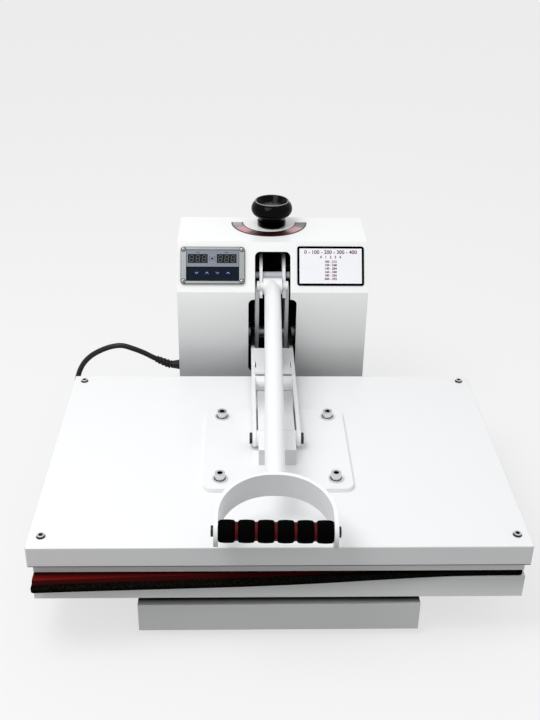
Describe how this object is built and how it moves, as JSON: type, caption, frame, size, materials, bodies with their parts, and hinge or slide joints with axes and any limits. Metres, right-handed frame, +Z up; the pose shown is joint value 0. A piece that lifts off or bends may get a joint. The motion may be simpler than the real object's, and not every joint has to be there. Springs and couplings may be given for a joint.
{
  "type": "manual heat press",
  "caption": "Flat lever press with a heated head that a toggle arm closes on a padded bed, with a control tower behind and a pressure knob on top.",
  "frame": {"origin": "on the bench, midway between the front of the handle and the back of the tower", "axes": "+Z up from the bench, +Y from the handle to the tower, +X to the right as the press is used"},
  "size_m": [0.6495, 0.6568, 0.3782],
  "materials": {
    "white_paint": "gloss white stove enamel",
    "grey_paint": "satin light grey enamel",
    "bare_steel": "bright machined steel",
    "dark_steel": "blackened steel",
    "zinc": "bright zinc plate",
    "platen_alloy": "cast alloy, machined edge",
    "panel_alloy": "brushed and anodised",
    "keypad": "dark film over light alloy",
    "display": "smoked display filter",
    "key_blue": "domed blue key",
    "label": "plain white plate, black border",
    "scale": "plain printed band",
    "black_plastic": "gloss black moulding",
    "black_rubber": "matt black rubber",
    "grip_foam": "black foam rubber",
    "grip_red": "red sleeve",
    "sponge": "open black sponge",
    "silicone": "red silicone sheet",
    "wool": "mineral wool blanket"
  },
  "bodies": {
    "press_frame": {"rubber_feet": "black_rubber", "base_rails": "white_paint", "base_crossbars": "white_paint", "bed_posts": "dark_steel", "bed_plate": "white_paint", "bed_skirt": "white_paint", "foam_pad": "sponge", "silicone_pad": "silicone", "uprights": "dark_steel", "thrust_plate": "dark_steel", "hinge_shaft": "bare_steel", "hinge_collars": "bare_steel", "tower_front": "white_paint", "control_panel": "white_paint", "tower_top": "white_paint", "side_panels": "white_paint", "rear_cover": "white_paint", "controller_case": "black_plastic", "controller_bezel": "panel_alloy", "controller_face": "keypad", "display_windows": "display", "label_plate": "label", "scale_plate": "scale", "cord_gland": "black_rubber", "cord_lead": "black_rubber", "cord_coil": "black_rubber", "cord_tie": "black_rubber", "cord_plug": "black_rubber"},
    "carriage": {"yoke_plates": "white_paint", "crossbar": "bare_steel", "nut_block": "bare_steel", "lever_pin": "bare_steel"},
    "knob": {"pressure_knob": "black_plastic", "pressure_screw": "bare_steel"},
    "arm": {"arm_plates": "white_paint", "arm_web": "white_paint", "cross_tubes": "white_paint", "pivot_bolt": "dark_steel"},
    "head": {"heat_plate": "platen_alloy", "head_cover": "white_paint", "insulation": "wool", "cover_standoffs": "bare_steel", "cover_screws": "dark_steel", "mount_plate": "white_paint", "mount_screws": "zinc", "mount_washers": "zinc", "pivot_block": "grey_paint"},
    "lever": {"lever_sleeve": "white_paint", "lever_tube": "white_paint", "lever_lug": "white_paint", "handle_bow": "white_paint", "grip_bolt": "dark_steel", "grip_core": "grip_red", "grip_rings": "grip_foam", "link_pin": "bare_steel"},
    "link": {"toggle_link": "bare_steel"},
    "temp_down_key": {"temp_down_key": "key_blue"},
    "temp_up_key": {"temp_up_key": "key_blue"},
    "time_down_key": {"time_down_key": "key_blue"},
    "time_up_key": {"time_up_key": "key_blue"}
  },
  "joints": [
    {"name": "arm_lift", "type": "hinge", "parent": "press_frame", "child": "arm", "pos_m": [0, 0.24339, 0.168], "axis": [-1, 0, 0], "range_deg": [0, 35]},
    {"name": "pressure_slide", "type": "slide", "parent": "press_frame", "child": "carriage", "axis": [0, 0, 1], "range_m": [-0.004, 0.004]},
    {"name": "knob_turn", "type": "hinge", "parent": "press_frame", "child": "knob", "pos_m": [0, 0.29339, 0.336], "axis": [0, 0, 1], "range_deg": [-720, 720]},
    {"name": "lever_lift", "type": "hinge", "parent": "carriage", "child": "lever", "pos_m": [0, 0.19339, 0.273], "axis": [-1, 0, 0], "range_deg": [0, 87]},
    {"name": "link_swing", "type": "hinge", "parent": "lever", "child": "link", "pos_m": [0, 0.12942, 0.21703], "axis": [-1, 0, 0], "range_deg": [-112.1, 0]},
    {"name": "head_float", "type": "hinge", "parent": "arm", "child": "head", "pos_m": [0, -0.07661, 0.168], "axis": [1, 0, 0], "range_deg": [-1, 1], "deforming": ["foam_pad", "silicone_pad"]},
    {"name": "temp_down_key_press", "type": "slide", "parent": "press_frame", "child": "temp_down_key", "axis": [0, 0.8359, -0.5489], "range_m": [0, 0.0006], "stiffness_N_per_m": 1500},
    {"name": "temp_up_key_press", "type": "slide", "parent": "press_frame", "child": "temp_up_key", "axis": [0, 0.8359, -0.5489], "range_m": [0, 0.0006], "stiffness_N_per_m": 1500},
    {"name": "time_down_key_press", "type": "slide", "parent": "press_frame", "child": "time_down_key", "axis": [0, 0.8359, -0.5489], "range_m": [0, 0.0006], "stiffness_N_per_m": 1500},
    {"name": "time_up_key_press", "type": "slide", "parent": "press_frame", "child": "time_up_key", "axis": [0, 0.8359, -0.5489], "range_m": [0, 0.0006], "stiffness_N_per_m": 1500}
  ],
  "couplings": [
    {"joint": "lever_lift", "follows": "arm_lift", "ratio": 2.48},
    {"joint": "link_swing", "follows": "arm_lift", "ratio": -3.2},
    {"joint": "knob_turn", "follows": "pressure_slide", "rad_per_m": -3141.6}
  ]
}
